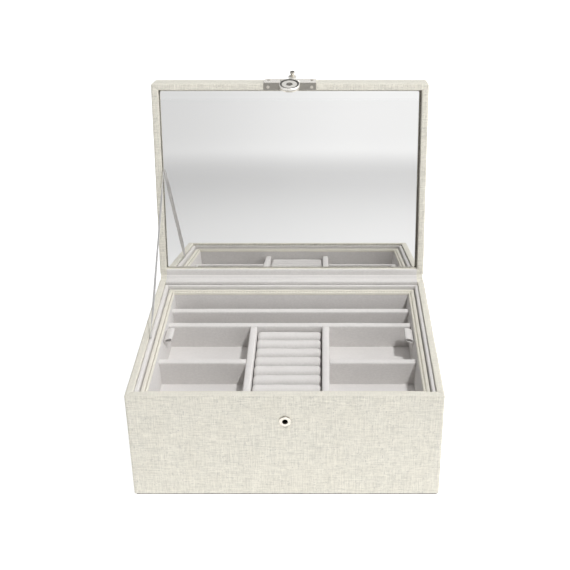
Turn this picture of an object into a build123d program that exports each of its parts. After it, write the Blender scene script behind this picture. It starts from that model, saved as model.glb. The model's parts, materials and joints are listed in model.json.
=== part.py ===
from build123d import *
import os

# Linen-covered jewellery chest: a hinged lid with a mirror, a swinging clasp,
# and a velvet-lined tray that lifts out of the case.
# Millimetres. +X right, -Y front, +Z up. The origin is the centre of the base, on the table.

# ---- driving dimensions -------------------------------------------------------------
WIDTH = 280.0            # case and lid, outside the linen
DEPTH = 205.0
CASE_TOP = 111.0         # height of the case's rim
LID_HEIGHT = 26.0        # lid, from its rim to its outer top
RIM_GAP = 0.8            # closed gap between the two rims, filled by the hinge tape
FELT = 1.5               # felt under the base
BOARD = 5.6              # box boards
LINEN = 0.6              # linen skin on both sides of a board
CORNER = 2.0             # rounding of the upright corners
LINING = 3.6             # velvet-covered lining boards
LINING_TOP = 108.4
FLOOR_TOP = 8.6          # velvet floor of the well under the tray
REST_STEP = 3.0          # the lower lining that the tray rests on

OPEN_ANGLE = 99.0        # the lid leans back to here, held by its stay ribbon
HINGE_Y = DEPTH / 2 + 2.3
HINGE_Z = 111.4
HINGE_X = 82.0           # centre of each back hinge
KNUCKLE = 9.6            # length of one hinge knuckle
KNUCKLE_GAP = 0.4
BARREL_R = 1.9
PIN_R = 0.8
LEAF = 0.9
LEAF_REACH = 13.0
LEAF_START = 0.3         # from the barrel to the leaf's plate
NECK_SET = 0.45          # the neck from barrel to leaf stands this far off the board
NECK_STEP = 0.8
PIN_SLACK = 0.06         # running fit in the moving knuckles

TRAY_X = 128.8           # half of the tray's width
TRAY_FRONT = -91.7
TRAY_BACK = 91.1
TRAY_TOP = 105.2
TRAY_BOTTOM = 69.0
TRAY_WALL = 4.8
TRAY_LINING = 1.4
TRAY_FLOOR = 2.4
TRAY_VELVET = 0.8
DIVIDER = 7.2
DIVIDER_TOP = 96.5
BACK_DIVIDER_Y = 63.3
MIDDLE_DIVIDER_Y = 35.9
CROSS_DIVIDER_Y = -28.0
RING_BAY = 32.4          # half of the ring pad's bay
ROLLS = 8
ROLL_TOP = 93.3
PAD_BASE = 3.0

MIRROR_RECESS = 4.5      # from the lid's rim to the glass
MIRROR = 2.5
MIRROR_BACKING = 3.0
LID_PANEL = 3.2

PLATE_X = 26.5           # half of the clasp plate's width
PLATE = 1.0
PLATE_REACH = 24.5
PLATE_LIP = 0.6
HASP_AXIS_Y = -DEPTH / 2 - 2.5
HASP_AXIS_Z = 111.5
HASP_LEAN = 19.6         # the sprung clasp leans in by this much while the lid is open
HASP_DROP = 11.2         # clasp axis to the centre of its round leaf
HASP_R = 10.5
STRIKE_DROP = 27.5       # clasp axis to the strike's centre
ARM_TURN = 9.0           # the arm is parked this far off straight up
ARM_LENGTH = STRIKE_DROP - HASP_DROP
KNOB_TRAVEL = 3.8

LOOP_Y = 11.5            # centre of the two pull loops
LOOP_WIDTH = 19.0
LOOP_REACH = 8.6
LOOP_THICK = 2.4
LOOP_Z = 99.6

RIBBON_WIDTH = 5.0
RIBBON = 0.6
RIBBON_X = -131.4
RIBBON_REACH = 115.0     # hinge line to the ribbon's end, on the lid and on the case

# ---- worked-out positions -----------------------------------------------------------
half_w = WIDTH / 2
half_d = DEPTH / 2
skin = LINEN
wall = BOARD + 2 * LINEN
inner_x = half_w - wall
inner_y = half_d - wall
well_x = inner_x - LINING
well_y = inner_y - LINING
lid_rim = CASE_TOP + RIM_GAP
lid_top = lid_rim + LID_HEIGHT
base_x = half_w - skin - BOARD
base_y = half_d - skin - BOARD
strike_z = HASP_AXIS_Z - STRIKE_DROP
tray_in_x = TRAY_X - TRAY_WALL - TRAY_LINING
tray_in_front = TRAY_FRONT + TRAY_WALL + TRAY_LINING
tray_in_back = TRAY_BACK - TRAY_WALL - TRAY_LINING
tray_floor_top = TRAY_BOTTOM + TRAY_FLOOR + TRAY_VELVET
lid_axis = Axis((0, HINGE_Y, HINGE_Z), (1, 0, 0))
hasp_axis = Axis((0, HASP_AXIS_Y, HASP_AXIS_Z), (1, 0, 0))
leaf_centre_z = HASP_AXIS_Z - HASP_DROP
swivel_axis = Axis((0, HASP_AXIS_Y, leaf_centre_z), (0, -1, 0))

os.makedirs("parts", exist_ok=True)


def save(name, *solids):
    """Write one node: its solids stay separate pieces."""
    shape = solids[0] if len(solids) == 1 else Compound(children=list(solids))
    export_step(shape, f"parts/{name}.step")


def block(x0, x1, y0, y1, z0, z1):
    centre = Pos((x0 + x1) / 2, (y0 + y1) / 2, (z0 + z1) / 2)
    return centre * Box(abs(x1 - x0), abs(y1 - y0), abs(z1 - z0))


def rod(radius, start, end):
    """A round bar from start to end."""
    run = Vector(*end) - Vector(*start)
    bar = Cylinder(radius, run.length, align=(Align.CENTER, Align.CENTER, Align.MIN))
    return Plane(origin=start, z_dir=run) * bar


def rounded_prism(x, y, radius, z0, z1):
    """An upright block of half sizes x and y, with rounded upright corners."""
    return Pos(0, 0, z0) * extrude(RectangleRounded(2 * x, 2 * y, radius), z1 - z0)


def lifted(shape):
    """A lid piece, from its closed place to the open rest place."""
    return shape.rotate(lid_axis, -OPEN_ANGLE)


def clasped(shape):
    """A clasp piece, from flat on the closed case to its place on the open lid."""
    return lifted(shape.rotate(hasp_axis, HASP_LEAN))


def parked(shape):
    """A swinging piece, from pointing down at the strike to its parked place."""
    return clasped(shape.rotate(swivel_axis, 180 - ARM_TURN))


def wrapped(low, high, rim_low, turn_low, turn_high):
    """A linen skin round four boards, turned over their edge at rim_low and down their inner side."""
    shell = rounded_prism(half_w, half_d, CORNER, low, high)
    core = rounded_prism(half_w - skin, half_d - skin, CORNER - skin, low - 1, high + 1)
    hollow = block(-inner_x, inner_x, -inner_y, inner_y, low - 1, high + 1)
    rim = rounded_prism(half_w, half_d, CORNER, rim_low, rim_low + skin)
    turn_in = block(-base_x, base_x, -base_y, base_y, turn_low, turn_high)
    return (shell - core) + (rim - hollow) + (turn_in - hollow)


def board_frame(z0, z1):
    """Four butt-jointed boards: front, back, left and right."""
    x, y = half_w - skin, half_d - skin
    front = block(-x, x, -y, -y + BOARD, z0, z1)
    back = block(-x, x, y - BOARD, y, z0, z1)
    left = block(-x, -x + BOARD, -y + BOARD, y - BOARD, z0, z1)
    right = block(x - BOARD, x, -y + BOARD, y - BOARD, z0, z1)
    corners = rounded_prism(x, y, CORNER - skin, z0 - 1, z1 + 1)
    return [piece & corners for piece in (front, back, left, right)]


# ---- case ---------------------------------------------------------------------------
base_top = FELT + 6.0
strike_bore = rod(4.2, (0, -half_d - 1, strike_z), (0, -half_d + 4.6, strike_z))

save("base_felt", rounded_prism(half_w - 1.2, half_d - 1.2, CORNER, 0, FELT))
case_boards = board_frame(FELT, CASE_TOP - skin)
case_boards[0] -= strike_bore
for name, board in zip(("front", "back", "left", "right"), case_boards):
    save(f"case_{name}_board", board)
save("case_base_board", block(-base_x, base_x, -base_y, base_y, FELT, base_top))
save("case_linen_wrap", wrapped(FELT, CASE_TOP, CASE_TOP - skin, LINING_TOP, CASE_TOP) - strike_bore)

lining_x, lining_y = base_x, base_y
for name, box in {
    "front": (-lining_x, lining_x, -lining_y, -well_y),
    "back": (-lining_x, lining_x, well_y, lining_y),
    "left": (-lining_x, -well_x, -well_y, well_y),
    "right": (well_x, lining_x, -well_y, well_y),
}.items():
    save(f"lining_{name}", block(*box, base_top, LINING_TOP))
save("well_floor_velvet", block(-well_x, well_x, -well_y, well_y, base_top, FLOOR_TOP))
rest_x, rest_y = well_x - REST_STEP, well_y - REST_STEP
save(
    "tray_rests",
    block(-well_x, well_x, -well_y, -rest_y, FLOOR_TOP, TRAY_BOTTOM),
    block(-well_x, well_x, rest_y, well_y, FLOOR_TOP, TRAY_BOTTOM),
    block(-well_x, -rest_x, -rest_y, rest_y, FLOOR_TOP, TRAY_BOTTOM),
    block(rest_x, well_x, -rest_y, rest_y, FLOOR_TOP, TRAY_BOTTOM),
)

# strike: a flanged ring pressed into a cup in the front board, with a snap ring inside
strike_face = -half_d - 1.2
flange = rod(5.6, (0, -half_d, strike_z), (0, strike_face, strike_z))
flange = fillet(flange.edges().filter_by(GeomType.CIRCLE).group_by(Axis.Y)[0], 0.9)
neck = rod(3.6, (0, -half_d, strike_z), (0, -half_d + 2.0, strike_z))
save("strike_ring", flange + neck - rod(2.6, (0, strike_face - 1, strike_z), (0, -half_d + 3, strike_z)))
cup = rod(4.2, (0, -half_d, strike_z), (0, -half_d + 4.6, strike_z))
save("strike_cup", cup - rod(3.6, (0, -half_d - 1, strike_z), (0, -half_d + 4.0, strike_z)))
snap_plane = Plane(origin=(0, -half_d + 2.6, strike_z), z_dir=(0, 1, 0))
save("strike_snap_ring", snap_plane * Torus(3.0, 0.45))

# ---- back hinges --------------------------------------------------------------------
def hinge_half(centre, on_lid):
    """One leaf with its knuckles: the case's has the outer and middle ones, the lid's the others."""
    places = (-1, 1) if on_lid else (-2, 0, 2)
    length = 5 * KNUCKLE + 4 * KNUCKLE_GAP
    up = 1 if on_lid else -1
    bore = PIN_R + (PIN_SLACK if on_lid else 0.0)
    near = HINGE_Z + up * (BARREL_R + LEAF_START)
    far = HINGE_Z + up * (BARREL_R + LEAF_REACH)
    neck_out = half_d + NECK_SET + LEAF
    half = block(centre - length / 2, centre + length / 2, half_d, half_d + LEAF, near, far)
    for place in places:
        middle = centre + place * (KNUCKLE + KNUCKLE_GAP)
        x0, x1 = middle - KNUCKLE / 2, middle + KNUCKLE / 2
        half += rod(BARREL_R, (x0, HINGE_Y, HINGE_Z), (x1, HINGE_Y, HINGE_Z))
        half += block(x0, x1, half_d + NECK_SET, neck_out, HINGE_Z, near)
        half += block(x0, x1, half_d, neck_out, near, near + up * NECK_STEP)
    return half - rod(bore, (centre - length, HINGE_Y, HINGE_Z), (centre + length, HINGE_Y, HINGE_Z))


def hinge_screws(z):
    """Domed screw heads on one row of leaves."""
    heads = []
    for centre in (-HINGE_X, HINGE_X):
        for offset in (-17.0, 0.0, 17.0):
            x, y = centre + offset, half_d + LEAF
            head = rod(2.0, (x, y, z), (x, y + 0.7, z))
            head = fillet(head.edges().filter_by(GeomType.CIRCLE).group_by(Axis.Y)[-1], 0.5)
            heads.append(head - block(x - 1.4, x + 1.4, y + 0.4, y + 1, z - 0.2, z + 0.2))
    return heads


save("case_hinge_leaves", *[hinge_half(centre, False) for centre in (-HINGE_X, HINGE_X)])
save("lid_hinge_leaves", *[lifted(hinge_half(centre, True)) for centre in (-HINGE_X, HINGE_X)])
pin_half = (5 * KNUCKLE + 4 * KNUCKLE_GAP) / 2
save(
    "hinge_pins",
    *[
        rod(PIN_R, (centre - pin_half, HINGE_Y, HINGE_Z), (centre + pin_half, HINGE_Y, HINGE_Z))
        for centre in (-HINGE_X, HINGE_X)
    ],
)
screw_drop = BARREL_R + LEAF_REACH / 2 + 1.5
save("case_hinge_screws", *hinge_screws(HINGE_Z - screw_drop))
save("lid_hinge_screws", *[lifted(head) for head in hinge_screws(HINGE_Z + screw_drop)])

TAPE = 0.35
save("case_hinge_tape", block(-inner_x + 1, inner_x - 1, inner_y, half_d - 0.4, CASE_TOP, CASE_TOP + TAPE))
lid_tape = block(-inner_x + 1, inner_x - 1, inner_y, half_d - 0.4, lid_rim - TAPE, lid_rim)
save("lid_hinge_tape", lifted(lid_tape))

# ---- lid, modelled closed and then opened -------------------------------------------
panel_low = lid_top - skin - LID_PANEL
glass_low = lid_rim + MIRROR_RECESS
glass_high = glass_low + MIRROR
backing_high = glass_high + MIRROR_BACKING
lid_boards = board_frame(lid_rim + skin, panel_low)
for name, board in zip(("front", "back", "left", "right"), lid_boards):
    save(f"lid_{name}_board", lifted(board))
panel = rounded_prism(half_w - skin, half_d - skin, CORNER - skin, panel_low, lid_top - skin)
save("lid_top_panel", lifted(panel))
lid_wrap = wrapped(lid_rim, lid_top, lid_rim, lid_rim, backing_high)
lid_wrap += rounded_prism(half_w, half_d, CORNER, lid_top - skin, lid_top)
save("lid_linen_wrap", lifted(lid_wrap))

glass = Pos(-0.5, 0, glass_low) * extrude(RectangleRounded(2 * inner_x - 2.6, 2 * inner_y - 1.2, 2.5), MIRROR)
glass = chamfer(glass.edges().group_by(Axis.Z)[0], 0.8)
save("mirror", lifted(glass))
save("mirror_backing", lifted(block(-inner_x, inner_x, -inner_y, inner_y, glass_high, backing_high)))
save("lid_core", lifted(block(-base_x, base_x, -base_y, base_y, backing_high, panel_low)))

# ---- clasp --------------------------------------------------------------------------
plate_face = -half_d - PLATE
plate = block(-PLATE_X, PLATE_X, plate_face, -half_d, lid_rim, lid_rim + PLATE_REACH)
plate = fillet(plate.edges().filter_by(Axis.Y).group_by(Axis.Z)[-1], 2.0)
lip = block(-PLATE_X, PLATE_X, plate_face, -inner_y - 0.4, lid_rim - PLATE_LIP, lid_rim)
plate += lip
HASP_BARREL = 1.3
HASP_PIN = 0.6
for side in (-1, 1):
    x0, x1 = side * 4.4, side * 9.4
    plate += rod(HASP_BARREL, (x0, HASP_AXIS_Y, HASP_AXIS_Z), (x1, HASP_AXIS_Y, HASP_AXIS_Z))
    plate += block(x0, x1, HASP_AXIS_Y + 0.2, -half_d - 0.2, HASP_AXIS_Z + 0.1, HASP_AXIS_Z + HASP_BARREL)
pin_bore = rod(HASP_PIN + 0.06, (-12, HASP_AXIS_Y, HASP_AXIS_Z), (12, HASP_AXIS_Y, HASP_AXIS_Z))
save("clasp_plate", lifted(plate - pin_bore))
screws = []
for x in (-22.0, 22.0):
    y = -half_d + wall / 2
    head = rod(1.6, (x, y, lid_rim - PLATE_LIP), (x, y, lid_rim - PLATE_LIP - 0.15))
    face = rod(1.6, (x, plate_face, lid_rim + 18.0), (x, plate_face - 0.5, lid_rim + 18.0))
    screws += [lifted(head), lifted(face)]
save("clasp_screws", *screws)

hasp_pin = rod(HASP_PIN, (-9.4, HASP_AXIS_Y, HASP_AXIS_Z), (9.4, HASP_AXIS_Y, HASP_AXIS_Z))
save("hasp_pin", clasped(hasp_pin))

leaf_in = HASP_AXIS_Y + 0.7
leaf_out = leaf_in - 1.3
leaf = rod(HASP_R, (0, leaf_in, leaf_centre_z), (0, leaf_out, leaf_centre_z))
leaf += rod(HASP_BARREL, (-4.1, HASP_AXIS_Y, HASP_AXIS_Z), (4.1, HASP_AXIS_Y, HASP_AXIS_Z))
leaf += block(-4.1, 4.1, leaf_out, leaf_in, leaf_centre_z, HASP_AXIS_Z)
save("hasp_leaf", clasped(leaf - pin_bore))

disc_in = leaf_out - 0.15
disc_out = disc_in - 2.6
arm_in = HASP_AXIS_Y - HASP_BARREL - 0.2
arm_out = arm_in - 1.2
screw_r = 3.0
disc = rod(HASP_R - 0.3, (0, disc_in, leaf_centre_z), (0, disc_out, leaf_centre_z))
disc = fillet(disc.edges().filter_by(GeomType.CIRCLE).group_by(Axis.Y)[0], 0.5)
disc -= rod(HASP_R - 1.7, (0, disc_out + 0.5, leaf_centre_z), (0, disc_out - 1, leaf_centre_z))
disc -= rod(screw_r + 0.1, (0, disc_in + 1, leaf_centre_z), (0, disc_out - 1, leaf_centre_z))
knob_z = leaf_centre_z - ARM_LENGTH
arm = block(-2.6, 2.6, arm_out, arm_in, knob_z, leaf_centre_z - HASP_R + 2.0)
arm += rod(4.2, (0, arm_in, knob_z), (0, arm_out, knob_z))
arm -= rod(2.0, (0, arm_in + 1, knob_z), (0, arm_out - 1, knob_z))
save("latch_disc", parked(disc + arm))
pivot = rod(screw_r, (0, leaf_out, leaf_centre_z), (0, disc_out + 0.3, leaf_centre_z))
slot = block(-0.55, 0.55, disc_out + 1.1, disc_out - 1, leaf_centre_z - 2.6, leaf_centre_z + 2.6)
save("latch_pivot_screw", clasped((pivot - slot).rotate(swivel_axis, -45)))

knob_tip = arm_in + 0.1
cap_low = arm_out - KNOB_TRAVEL - 0.2
knob = rod(1.9, (0, knob_tip, knob_z), (0, cap_low, knob_z))
cap = rod(2.5, (0, cap_low, knob_z), (0, cap_low - 1.5, knob_z))
cap = fillet(cap.edges().filter_by(GeomType.CIRCLE).group_by(Axis.Y)[0], 0.6)
save("latch_knob", parked(knob + cap))

# ---- tray ---------------------------------------------------------------------------
save("tray_front_wall", block(-TRAY_X, TRAY_X, TRAY_FRONT, TRAY_FRONT + TRAY_WALL, TRAY_BOTTOM, TRAY_TOP))
save("tray_back_wall", block(-TRAY_X, TRAY_X, TRAY_BACK - TRAY_WALL, TRAY_BACK, TRAY_BOTTOM, TRAY_TOP))
for name, side in (("left", -1), ("right", 1)):
    side_wall = block(
        side * (TRAY_X - TRAY_WALL), side * TRAY_X,
        TRAY_FRONT + TRAY_WALL, TRAY_BACK - TRAY_WALL, TRAY_BOTTOM, TRAY_TOP,
    )
    save(f"tray_{name}_wall", side_wall)
floor_x, floor_front, floor_back = TRAY_X - TRAY_WALL, TRAY_FRONT + TRAY_WALL, TRAY_BACK - TRAY_WALL
floor_board_top = TRAY_BOTTOM + TRAY_FLOOR
save("tray_floor", block(-floor_x, floor_x, floor_front, floor_back, TRAY_BOTTOM, floor_board_top))
lining_top = TRAY_TOP - 1.2
save(
    "tray_wall_velvet",
    block(-floor_x, floor_x, floor_front, tray_in_front, floor_board_top, lining_top),
    block(-floor_x, floor_x, tray_in_back, floor_back, floor_board_top, lining_top),
    block(-floor_x, -tray_in_x, tray_in_front, tray_in_back, floor_board_top, lining_top),
    block(tray_in_x, floor_x, tray_in_front, tray_in_back, floor_board_top, lining_top),
)
velvet_floor = block(-tray_in_x, tray_in_x, tray_in_front, tray_in_back, floor_board_top, tray_floor_top)
save("tray_floor_velvet", velvet_floor)

half_div = DIVIDER / 2


def divider(x0, x1, y0, y1):
    """A padded divider standing on the tray's floor, with a rounded top."""
    bar = block(x0, x1, y0, y1, tray_floor_top, DIVIDER_TOP)
    along = Axis.X if abs(x1 - x0) > abs(y1 - y0) else Axis.Y
    return fillet(bar.edges().filter_by(along).group_by(Axis.Z)[-1], 1.6)


bay_back = MIDDLE_DIVIDER_Y - half_div
outer_bay = RING_BAY + DIVIDER
save("divider_back", divider(-tray_in_x, tray_in_x, BACK_DIVIDER_Y - half_div, BACK_DIVIDER_Y + half_div))
save("divider_middle", divider(-tray_in_x, tray_in_x, bay_back, MIDDLE_DIVIDER_Y + half_div))
save("divider_ring_left", divider(-outer_bay, -RING_BAY, tray_in_front, bay_back))
save("divider_ring_right", divider(RING_BAY, outer_bay, tray_in_front, bay_back))
cross = (CROSS_DIVIDER_Y - half_div, CROSS_DIVIDER_Y + half_div)
save("divider_cross_left", divider(-tray_in_x, -outer_bay, *cross))
save("divider_cross_right", divider(outer_bay, tray_in_x, *cross))

pad_low = tray_floor_top + PAD_BASE
pad_x = RING_BAY - 0.4
save("ring_pad_base", block(-pad_x, pad_x, tray_in_front, bay_back, tray_floor_top, pad_low))
pitch = (bay_back - tray_in_front) / ROLLS
roll_r = pitch / 2 - 0.1
rolls = []
for n in range(ROLLS):
    y = tray_in_front + (n + 0.5) * pitch
    crown = ROLL_TOP - roll_r
    roll = rod(roll_r, (-RING_BAY + 0.6, y, crown), (RING_BAY - 0.6, y, crown))
    foot = block(-RING_BAY + 0.6, RING_BAY - 0.6, y - roll_r, y + roll_r, pad_low, crown)
    above = block(-RING_BAY, RING_BAY, y - pitch, y + pitch, pad_low, ROLL_TOP + 1)
    rolls.append((roll & above) + foot)
save("ring_rolls", *rolls)

# pull loops, folded inwards over the compartments
for name, side in (("left", -1), ("right", 1)):
    root = side * (tray_in_x - 0.3)
    tip = side * (tray_in_x - 0.3 - LOOP_REACH)
    low = LOOP_Z - LOOP_THICK / 2
    loop = block(root, tip, LOOP_Y - LOOP_WIDTH / 2, LOOP_Y + LOOP_WIDTH / 2, low, low + LOOP_THICK)
    loop = fillet(loop.edges().filter_by(Axis.Y), 1.1)
    save(f"pull_loop_{name}", loop)

# ---- stay ribbon, taut from the case's left rim to the lid's left wall ---------------
case_end = Vector(RIBBON_X, HINGE_Y - RIBBON_REACH, LINING_TOP + 2.4)
closed_end = Vector(RIBBON_X, -RIBBON_REACH, lid_rim + 1.0 - HINGE_Z)
lid_end = Vector(0, HINGE_Y, HINGE_Z) + closed_end.rotate(Axis.X, -OPEN_ANGLE)
run = lid_end - case_end
ribbon_plane = Plane(origin=case_end, x_dir=(1, 0, 0), z_dir=run)
strip = Box(RIBBON, RIBBON_WIDTH, run.length, align=(Align.CENTER, Align.CENTER, Align.MIN))
save("stay_ribbon", ribbon_plane * strip)
print("stay ribbon length", round(run.length, 1), "roll pitch", round(pitch, 2))
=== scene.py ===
"""Looks of a linen-covered jewellery chest: cloth, velvet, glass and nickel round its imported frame."""

import json
import math
import random

import bmesh
import bpy
from mathutils import Matrix, Vector, noise


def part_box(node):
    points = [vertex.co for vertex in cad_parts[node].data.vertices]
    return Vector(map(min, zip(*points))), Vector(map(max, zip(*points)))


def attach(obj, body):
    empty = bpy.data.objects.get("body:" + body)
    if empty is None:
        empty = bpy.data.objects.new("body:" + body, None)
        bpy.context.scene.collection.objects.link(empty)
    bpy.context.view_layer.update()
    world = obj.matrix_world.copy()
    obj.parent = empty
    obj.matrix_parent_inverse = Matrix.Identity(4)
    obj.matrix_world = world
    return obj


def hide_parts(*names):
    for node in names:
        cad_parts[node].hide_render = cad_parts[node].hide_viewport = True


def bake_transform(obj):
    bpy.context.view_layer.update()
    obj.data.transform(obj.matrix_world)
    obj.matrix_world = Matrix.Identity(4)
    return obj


bl_info = {
    "name": "Linen jewellery chest",
    "version": (1, 0, 0),
    "blender": (4, 5, 0),
    "location": "3D View > Sidebar > Chest",
    "description": "Builds the cloth, velvet, glass and metal of a jewellery chest round its frame",
    "category": "Object",
}

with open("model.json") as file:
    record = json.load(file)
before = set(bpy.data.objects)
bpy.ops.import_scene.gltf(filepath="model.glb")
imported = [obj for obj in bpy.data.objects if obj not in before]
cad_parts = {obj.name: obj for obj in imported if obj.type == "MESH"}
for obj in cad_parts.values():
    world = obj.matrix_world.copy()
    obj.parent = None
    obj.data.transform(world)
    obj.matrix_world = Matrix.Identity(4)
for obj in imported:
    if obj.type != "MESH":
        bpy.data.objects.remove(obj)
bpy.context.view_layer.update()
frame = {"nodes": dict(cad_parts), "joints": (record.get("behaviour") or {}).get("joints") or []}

MM = 0.001
THREADS = "threads"  # the UV map that the woven cloths follow, in metres

# ---- places, from the frame ---------------------------------------------------------
LID_HINGE = next(j for j in frame["joints"] if j["name"] == "lid_hinge")
HINGE = Vector(LID_HINGE["pos_m"])
SHUT_TURN = math.radians(LID_HINGE["range_deg"][0])
OPENED = Matrix.Translation(HINGE) @ Matrix.Rotation(SHUT_TURN, 4, "X") @ Matrix.Translation(-HINGE)


def shut_box(node):
    """A lid node's box with the lid shut."""
    back = OPENED.inverted()
    points = [back @ v.co for v in frame["nodes"][node].data.vertices]
    low = Vector([min(p[i] for p in points) for i in range(3)])
    high = Vector([max(p[i] for p in points) for i in range(3)])
    return low, high


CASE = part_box("case_linen_wrap")
LID = shut_box("lid_linen_wrap")
LID_BACKING = shut_box("mirror_backing")
LINING_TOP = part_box("lining_front")[1].z
RIM = LID_BACKING[0].x - LID[0].x  # width of the rim of case and lid
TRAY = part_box("tray_front_wall")[0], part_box("tray_back_wall")[1]
TRAY_TOP = TRAY[1].z
TRAY_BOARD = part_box("tray_front_wall")[1].y - TRAY[0].y
TRAY_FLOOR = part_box("tray_floor_velvet")[1].z
SIDES = ("front", "back", "left", "right")

# ---- cloth sizes --------------------------------------------------------------------
LINEN_SKIN = 0.5 * MM
OUTER_BEND = 1.7 * MM  # the linen's turn over the outer edge of a rim
INNER_BEND = 0.9 * MM
CORNER = 2.0 * MM  # radius of the wrapped corners
RIM_CLEAR = 0.03 * MM  # gap that keeps the two rims from touching when shut
LINING_BEND = 1.3 * MM
BEAD_IN = 3.5 * MM  # the tray border's outer roll
GROOVE_IN = 4.0 * MM
EDGE_IN = 6.1 * MM  # the border's inner roll ends here, over the velvet
GROOVE_DROP = 1.3 * MM
ROLLS = 8
ROLL_SWELL = 0.55 * MM  # most that the stuffing may move a roll's cloth

# ---- stage --------------------------------------------------------------------------
AIM = (0.0, 0.0, 0.12)
KEY_AT, KEY_SIZE = (0.68, -0.90, 1.85), 0.16
FILL_AT, FILL_SIZE = (0.7, -1.9, 0.8), 1.0
TOP_AT, TOP_SIZE = (0.1, 0.25, 1.7), 1.3
CAMERA_AT = (0.0348, -0.7940, 0.6222)
CAMERA_DIP = 0.438  # radians below level
CAMERA_SHIFT = (-0.0693, -0.1474)
SENSOR_WIDTH = 36.0


# ---- shader maths -------------------------------------------------------------------
class Wire:
    """A socket of a material being written. Sums and products of wires add Math nodes."""

    def __init__(self, recipe, socket):
        self.recipe = recipe
        self.socket = socket

    def maths(self, operation, *values):
        inputs = dict(enumerate(values))
        return self.recipe.node("ShaderNodeMath", {"operation": operation}, inputs)

    def __add__(self, other):
        return self.maths("ADD", self, other)

    def __sub__(self, other):
        return self.maths("SUBTRACT", self, other)

    def __rsub__(self, other):
        return self.maths("SUBTRACT", other, self)

    def __mul__(self, other):
        return self.maths("MULTIPLY", self, other)

    def __truediv__(self, other):
        return self.maths("DIVIDE", self, other)

    def __pow__(self, other):
        return self.maths("POWER", self, other)

    __radd__ = __add__
    __rmul__ = __mul__

    def whole(self):
        return self.maths("FLOOR", self)

    def wave(self):
        """The height of a round thread, one thread to each whole number across."""
        return self.maths("ABSOLUTE", self.maths("SINE", self * math.pi))

    def pingpong(self):
        """0 at even whole numbers and 1 at odd ones."""
        return self.maths("PINGPONG", self, 1.0)

    def highest(self, other):
        return self.maths("MAXIMUM", self, other)

    def between(self, low, high, new_low=0.0, new_high=1.0):
        """A smooth step from new_low at low to new_high at high."""
        settings = {"interpolation_type": "SMOOTHSTEP"}
        inputs = {"Value": self, 1: low, 2: high, 3: new_low, 4: new_high}
        return self.recipe.node("ShaderNodeMapRange", settings, inputs)


class Recipe:
    """A material or world being written: its node tree and the one method that adds to it."""

    def __init__(self, owner):
        owner.use_nodes = True
        self.owner = owner
        self.tree = owner.node_tree
        self.tree.nodes.clear()

    def node(self, kind, settings=None, inputs=None, output=0):
        made = self.tree.nodes.new(kind)
        for key, value in (settings or {}).items():
            setattr(made, key, value)
        for key, value in (inputs or {}).items():
            if isinstance(value, Wire):
                self.tree.links.new(value.socket, made.inputs[key])
            else:
                made.inputs[key].default_value = value
        return Wire(self, made.outputs[output]) if made.outputs else None

    def mix(self, share, first, second):
        """The second colour laid over the first by share."""
        settings = {"data_type": "RGBA"}
        return self.node("ShaderNodeMix", settings, {0: share, 6: first, 7: second}, output=2)

    def tint(self, share, colour, dark, light):
        """A colour shaded between dark and light times itself by share."""
        return self.mix(share, shade(colour, dark), shade(colour, light))

    def vector(self, x, y, z=0.0):
        return self.node("ShaderNodeCombineXYZ", None, {0: x, 1: y, 2: z})

    def split(self, vector):
        return [self.node("ShaderNodeSeparateXYZ", None, {0: vector}, output=i) for i in range(3)]

    def vector_maths(self, operation, *values, output=0):
        inputs = dict(enumerate(values))
        return self.node("ShaderNodeVectorMath", {"operation": operation}, inputs, output)

    def scaled(self, vector, scale):
        return self.vector_maths("MULTIPLY", vector, scale)

    def noise(self, vector, scale, detail=2.0, rough=0.5):
        inputs = {"Vector": vector, "Scale": scale, "Detail": detail, "Roughness": rough}
        return self.node("ShaderNodeTexNoise", None, inputs)

    def place(self):
        """The point on the piece, in metres."""
        return self.node("ShaderNodeTexCoord", None, None, output=3)

    def facing(self):
        """The way that the surface faces."""
        return self.node("ShaderNodeTexCoord", None, None, output=1)

    def bump(self, height, distance, strength=1.0):
        inputs = {"Height": height, "Distance": distance, "Strength": strength}
        return self.node("ShaderNodeBump", None, inputs)

    def surface(self, inputs):
        shader = self.node("ShaderNodeBsdfPrincipled", None, inputs)
        self.node("ShaderNodeOutputMaterial", None, {"Surface": shader})
        return self.owner


def shade(colour, amount):
    return tuple(channel * amount for channel in colour[:3]) + (1.0,)


def rgba(colour):
    return tuple(colour[:3]) + (1.0,)


def material(name):
    return Recipe(bpy.data.materials.new(name))


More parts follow.
